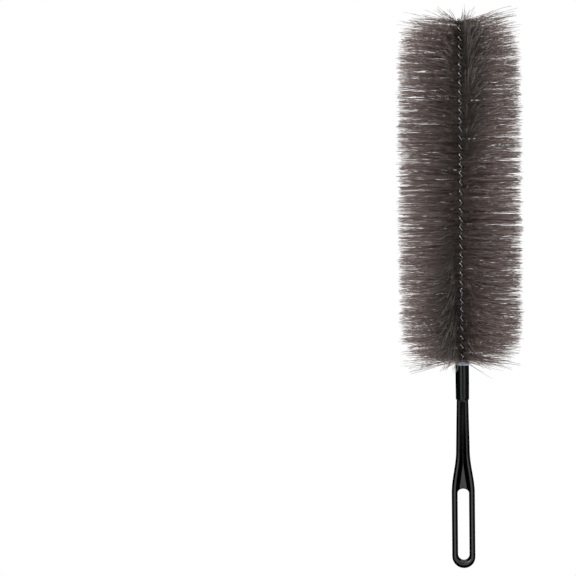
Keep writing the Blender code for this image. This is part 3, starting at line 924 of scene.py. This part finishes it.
def make_wire_tree():
    tree, given = geometry_tree(
        "twisted_wire",
        {
            "Foot": float,
            "Length": float,
            "Wire diameter": float,
            "Turns per metre": float,
            "Closed radius": float,
            "Open radius": float,
            "Opened at": float,
            "Starting turn": float,
            "Points": int,
            "Sides": int,
            "Finish": bpy.types.Material,
        },
    )
    curve = evenly_drawn_line(tree, given["Points"])
    run = Reading(tree, added(tree, "GeometryNodeSplineParameter").outputs["Factor"])
    climbed = run * given["Length"]
    height = climbed + given["Foot"]
    opened = ((height - given["Opened at"]) / OPENING_LENGTH).stepped(-0.5, 0.5)
    radius = given["Closed radius"].towards(given["Open radius"], opened)
    turn = (given["Starting turn"] - climbed * given["Turns per metre"]) * (2.0 * math.pi)
    placed_curve = moved_to(tree, curve, radius * turn.by("COSINE"), radius * turn.by("SINE"), height)
    drawn_out(tree, placed_curve, given["Sides"], given["Wire diameter"], given["Finish"])
    return tree


DARK_STEEL = (0.33, 0.33, 0.315)
RUBBED_STEEL = (0.37, 0.36, 0.34)
STEEL_ROUGHNESS = 0.14
DRAWN_RELIEF = 0.02 * MM


def make_wire_finish():
    finish, tree, shader = new_finish("coated_steel_wire")
    place = tree.nodes.new("ShaderNodeTexCoord").outputs["Object"]
    dust = placed(tree, settled_dust, Amount=1.5)
    specks = grain(tree, place, 1400.0, 4.0).stepped(0.62, 0.7)
    rubbed = specks * grain(tree, place, 160.0, 2.0).stepped(0.5, 0.65)
    colour = tint(tree, rubbed * 0.5, DARK_STEEL, RUBBED_STEEL)
    colour = tint(tree, Reading(tree, dust.outputs["Cover"]) * 0.5, colour, DUST_COLOUR)
    tree.links.new(colour, shader.inputs["Base Color"])
    drawn = grain(tree, place, 3000.0, 2.0, (1.0, 1.0, 0.2))
    shader.inputs["Metallic"].default_value = 1.0
    rough = drawn * 0.1 + STEEL_ROUGHNESS + rubbed * 0.1
    tree.links.new(rough.socket, shader.inputs["Roughness"])
    shader.inputs["Specular IOR Level"].default_value = 1.0
    raise_surface(tree, shader, drawn, DRAWN_RELIEF, 0.4)
    return finish


wire_tree = make_wire_tree()
wire_finish = make_wire_finish()
for letter, starting_turn in (("a", 0.0), ("b", 0.5)):
    wire_mesh = grown_mesh(
        f"wire_{letter}",
        wire_tree,
        {
            "Foot": STEM_FOOT - GRIP_HEIGHT,
            "Length": STEM_TOP - STEM_FOOT,
            "Wire diameter": WIRE_DIAMETER,
            "Turns per metre": 1.0 / TWIST_PITCH,
            "Closed radius": CLOSED_RADIUS,
            "Open radius": OPEN_RADIUS,
            "Opened at": OPENED_AT - GRIP_HEIGHT,
            "Starting turn": starting_turn,
            "Points": WIRE_POINTS,
            "Sides": WIRE_SIDES,
            "Finish": wire_finish,
        },
    )
    wire_mesh.shade_smooth()
    wire_mesh.set_sharp_from_angle(angle=math.radians(WIRE_CREASE))
    fit_mesh(f"wire_{letter}", wire_mesh, wire_finish, f"stem_wire_{letter}")


# Filaments. Grey-brown synthetic hairs, pinched at their middles between the twisted wires, gather
# in loose tufts. They part in front of the wires and behind, and in every other quarter round the
# stem they lie brushed towards the head's nearer end. Each slice of the head is its own piece.

HEAD_FOOT = 148.9 * MM
HEAD_LENGTH = 243.8 * MM
HEAD_RADIUS = 46.0 * MM
SECTIONS = 10
SECTION_GAP = 0.3 * MM
FILAMENTS = 1550
TUFTS = 300
FILAMENT_DIAMETER = 0.25 * MM
TOP_LEAN = math.radians(2.8)
FOOT_LEAN = math.radians(1.0)
FILAMENT_LEAN = math.radians(4.0)
TUFT_LEAN = math.radians(6.0)
END_SPLAY = math.radians(7.5)
END_TRIM = 0.8
BRUSHED = 0.52
FILAMENT_FAN = math.radians(16.0)
TUFT_FAN = math.radians(88.0)
ROOT_RADIUS = 0.8 * MM
ROOT_SCATTER = 1.6 * MM
SIDE_SWEEP = -0.7 * MM
PARTING = 3.0 * MM
PARTED_WITHIN = 3.0 * MM
END_SCATTER = 1.0 * MM
WAVE_DEPTH = 0.3 * MM
ROOT_ASIDE = 0.4 * MM
ROOT_CROWDING = 1.3
LEAST_GATHERED = 0.38
MOST_GATHERED = 0.97
PINCHED_FAN = 0.3
GOLDEN_SHARE = 0.618034
KEYS_PER_SECTION = 10007.0
FILAMENT_POINTS = 8
FILAMENT_SIDES = 3


def make_filament_tree():
    tree, given = geometry_tree(
        "pinched_filaments",
        {
            "Foot": float,
            "Rise": float,
            "Filaments": int,
            "Tufts": int,
            "Diameter": float,
            "Root radius": float,
            "Root scatter": float,
            "Filament lean": float,
            "Tuft lean": float,
            "End splay": float,
            "End trim": float,
            "Brushed": float,
            "Filament fan": float,
            "Tuft fan": float,
            "Wire radius": float,
            "Head radius": float,
            "Side sweep": float,
            "Parting": float,
            "Head foot": float,
            "Head length": float,
            "Stem foot": float,
            "Turns per metre": float,
            "Top lean": float,
            "Foot lean": float,
            "Batch": int,
            "Points": int,
            "Finish": bpy.types.Material,
        },
    )
    line = evenly_drawn_line(tree, given["Points"])
    copies = tree.nodes.new("GeometryNodeDuplicateElements")
    copies.domain = "SPLINE"
    tree.links.new(line, copies.inputs["Geometry"])
    tree.links.new(given["Filaments"].socket, copies.inputs["Amount"])
    run = Reading(tree, added(tree, "GeometryNodeSplineParameter").outputs["Factor"]) ** ROOT_CROWDING
    number = Reading(tree, copies.outputs["Duplicate Index"]) + given["Batch"] * KEYS_PER_SECTION
    seeds = iter(range(1, 100))

    def chance(key, low, high):
        """A number drawn between two others, the same wherever the key is the same."""
        node = tree.nodes.new("FunctionNodeRandomValue")
        node.inputs["Seed"].default_value = next(seeds)
        node.inputs[2].default_value = low
        node.inputs[3].default_value = high
        tree.links.new(key.socket, node.inputs["ID"])
        return Reading(tree, node.outputs[1])

    # Where it is pinched: at a root near its tuft's, and within the head
    spacing = given["Rise"] / given["Tufts"]
    tuft = (chance(number, 0.0, 1.0) * given["Tufts"]).by("FLOOR")
    tuft_key = tuft + given["Batch"] * KEYS_PER_SECTION
    side = tuft.by("MODULO", 2.0)
    head_top = given["Head foot"] + given["Head length"]
    tuft_root = given["Foot"] + spacing * (tuft + chance(tuft_key, 0.1, 0.9))
    root = tuft_root + chance(number, -1.0, 1.0) * given["Root scatter"]
    root = root.by("MAXIMUM", given["Head foot"] + chance(number, 0.0, 1.0) * END_SCATTER)
    root = root.by("MINIMUM", head_top + chance(number, -1.0, 0.0) * END_SCATTER)

    def bearing(height):
        """Which way the pinched layer's edge looks at a height. The twist is left-handed."""
        turns = (given["Stem foot"] - height) * given["Turns per metre"]
        return (turns + 0.25 + side * 0.5) * (2.0 * math.pi)

    def lean(height):
        """The head's ends splay outwards, and its middle stands square to the stem."""
        share = (height - given["Head foot"]) / given["Head length"] * 2.0 - 1.0
        most = given["Foot lean"].towards(given["Top lean"], share.by("GREATER_THAN", 0.0))
        splay = given["End splay"] * share ** 7.0 * chance(number, -0.2, 1.0)
        return most * share * (share * share * 0.6 + 0.4) + splay

    # How far it reaches, and how much of that lies between the wires and past them
    share = (root - given["Head foot"]) / given["Head length"] * 2.0 - 1.0
    span = share.by("ABSOLUTE")
    trimmed = span ** 12.0 * given["End trim"] * chance(number, -1.0, 0.0) + 1.0
    reach = given["Head radius"] * chance(tuft_key, 0.94, 1.0) * chance(number, 0.95, 1.0) * trimmed
    radius = given["Root radius"].towards(reach, run)
    out = radius - given["Root radius"]
    inner = radius.by("MINIMUM", given["Wire radius"])
    outer = radius - inner
    gathered = chance(number, LEAST_GATHERED, MOST_GATHERED)

    # Which way it points round the stem, and how much it is brushed there
    tuft_fan = ((tuft * GOLDEN_SHARE).by("FRACT") * 2.0 - 1.0) * given["Tuft fan"]
    own_fan = chance(number, -1.0, 1.0) * given["Filament fan"]
    own_bearing = bearing(root) + tuft_fan + own_fan
    tuft_bearing = bearing(tuft_root) + tuft_fan
    angle = own_bearing.towards(tuft_bearing, gathered)
    start = bearing(root) + (tuft_fan + own_fan) * PINCHED_FAN
    flank = start.by("COSINE").by("SIGN")
    front = angle.by("SINE")
    quarter = (front * flank * share).stepped(0.0, -0.05)
    brushed = (front ** 2.0) ** 6.0 * quarter * share * span.stepped(1.0, 0.8)

    # How it rises, with its lean, its waves and the brushing
    ruffled = span * span * 1.2 + 0.7
    own_lean = lean(root) + chance(number, -1.0, 1.0) * given["Filament lean"] * ruffled
    tuft_lean = lean(tuft_root) + chance(tuft_key, -1.0, 1.0) * given["Tuft lean"] * ruffled
    rise = own_lean.by("TANGENT").towards(tuft_lean.by("TANGENT") + (tuft_root - root) / reach, gathered)
    height = root + out * rise
    wave = ((run * chance(number, 0.6, 1.6) + chance(number, 0.0, 1.0)) * (2.0 * math.pi)).by("SINE")
    height = height + wave * run * WAVE_DEPTH * ruffled
    height = height + outer * brushed * given["Brushed"] * chance(number, 0.6, 1.2)

    # Where it lies beside the stem, how pale and thick it is, and how much painted cool shade it takes
    # where it lies brushed
    aside = chance(number, -1.0, 1.0) * ROOT_ASIDE
    parted = front.by("ABSOLUTE") * given["Parting"] * chance(number, 0.8, 1.5) * span.stepped(1.0, 0.8)
    past_wires = (outer / PARTED_WITHIN).stepped(0.0, 1.0)
    sidewards = outer * angle.by("COSINE").by("ABSOLUTE") + parted * past_wires
    east = inner * start.by("COSINE") + flank * sidewards - aside * front
    east = east + given["Side sweep"] * run * run
    north = inner * start.by("SINE") + outer * front + aside * angle.by("COSINE")
    shade = chance(number, 0.0, 1.0) ** 2.0 * 0.8 + chance(tuft_key, 0.0, 0.2)
    # Brushed filaments get a painted shade: a darker, cooler grey in place of the light that falls on
    # them where they run steeply.
    painted_cool_shade = brushed.by("ABSOLUTE").stepped(0.0, 0.35)
    curve = moved_to(tree, copies.outputs["Geometry"], east, north, height)
    for label, value in (("shade", shade), ("run", run), ("painted_cool_shade", painted_cool_shade)):
        kept = added(tree, "GeometryNodeStoreNamedAttribute", Geometry=curve, Name=label, Value=value)
        curve = kept.outputs["Geometry"]
    width = given["Diameter"] * chance(number, 0.7, 1.3) * (run ** 8.0 * -0.2 + 1.0)
    drawn_out(tree, curve, FILAMENT_SIDES, width, given["Finish"])
    return tree


DARK_FILAMENT = (0.06, 0.046, 0.043)
PALE_FILAMENT = (0.69, 0.552, 0.514)
# Painted shade: the darker, cooler grey given to the brushed filaments.
SHADED_COOL_FILAMENT = (0.46, 0.437, 0.395)
FILAMENT_ROUGHNESS = 0.38
FILAMENT_SPECULAR = 0.25


def stored(tree, label):
    """A value that the geometry tree has stored on the mesh."""
    node = tree.nodes.new("ShaderNodeAttribute")
    node.attribute_name = label
    return Reading(tree, node.outputs["Fac"])


def make_filament_finish():
    finish, tree, shader = new_finish("grey_brown_filament")
    shade, run, painted_cool_shade = (stored(tree, label) for label in ("shade", "run", "painted_cool_shade"))
    place = tree.nodes.new("ShaderNodeTexCoord").outputs["Object"]
    lint = grain(tree, place, 900.0, 3.0).stepped(0.6, 0.75)
    # Each filament takes a random tone, and it is painted darker towards its root, a painted shade for
    # the depth of the head round the stem.
    share = shade * 0.7 + run * 0.3
    # Painted shade: the brushed filaments are made darker and cooler, for how light falls on them where
    # they run steeply.
    share = share * (painted_cool_shade * (share - 0.75) + 1.0)
    colour = tint(tree, share, DARK_FILAMENT, tint(tree, painted_cool_shade, PALE_FILAMENT, SHADED_COOL_FILAMENT))
    colour = tint(tree, lint * 0.15, colour, DUST_COLOUR)
    tree.links.new(colour, shader.inputs["Base Color"])
    tree.links.new((lint * 0.2 + FILAMENT_ROUGHNESS).socket, shader.inputs["Roughness"])
    shader.inputs["Specular IOR Level"].default_value = FILAMENT_SPECULAR
    return finish


filament_tree = make_filament_tree()
filament_finish = make_filament_finish()
section_pace = HEAD_LENGTH / SECTIONS
for section in range(SECTIONS):
    filament_mesh = grown_mesh(
        f"filaments_{section + 1:02d}",
        filament_tree,
        {
            "Foot": HEAD_FOOT + section_pace * section - GRIP_HEIGHT,
            "Rise": section_pace - SECTION_GAP,
            "Filaments": FILAMENTS,
            "Tufts": TUFTS,
            "Diameter": FILAMENT_DIAMETER,
            "Root radius": ROOT_RADIUS,
            "Root scatter": ROOT_SCATTER,
            "Filament lean": FILAMENT_LEAN,
            "Tuft lean": TUFT_LEAN,
            "End splay": END_SPLAY,
            "End trim": END_TRIM,
            "Brushed": BRUSHED,
            "Filament fan": FILAMENT_FAN,
            "Tuft fan": TUFT_FAN,
            "Wire radius": OPEN_RADIUS + WIRE_DIAMETER / 2,
            "Head radius": HEAD_RADIUS,
            "Side sweep": SIDE_SWEEP,
            "Parting": PARTING,
            "Head foot": HEAD_FOOT - GRIP_HEIGHT,
            "Head length": HEAD_LENGTH,
            "Stem foot": STEM_FOOT - GRIP_HEIGHT,
            "Turns per metre": 1.0 / TWIST_PITCH,
            "Top lean": TOP_LEAN,
            "Foot lean": FOOT_LEAN,
            "Batch": section + 1,
            "Points": FILAMENT_POINTS,
            "Finish": filament_finish,
        },
    )
    filament_mesh.shade_smooth()
    fit_mesh(
        f"filaments_{section + 1:02d}",
        filament_mesh,
        filament_finish,
        f"bristles_{section + 1:02d}",
    )
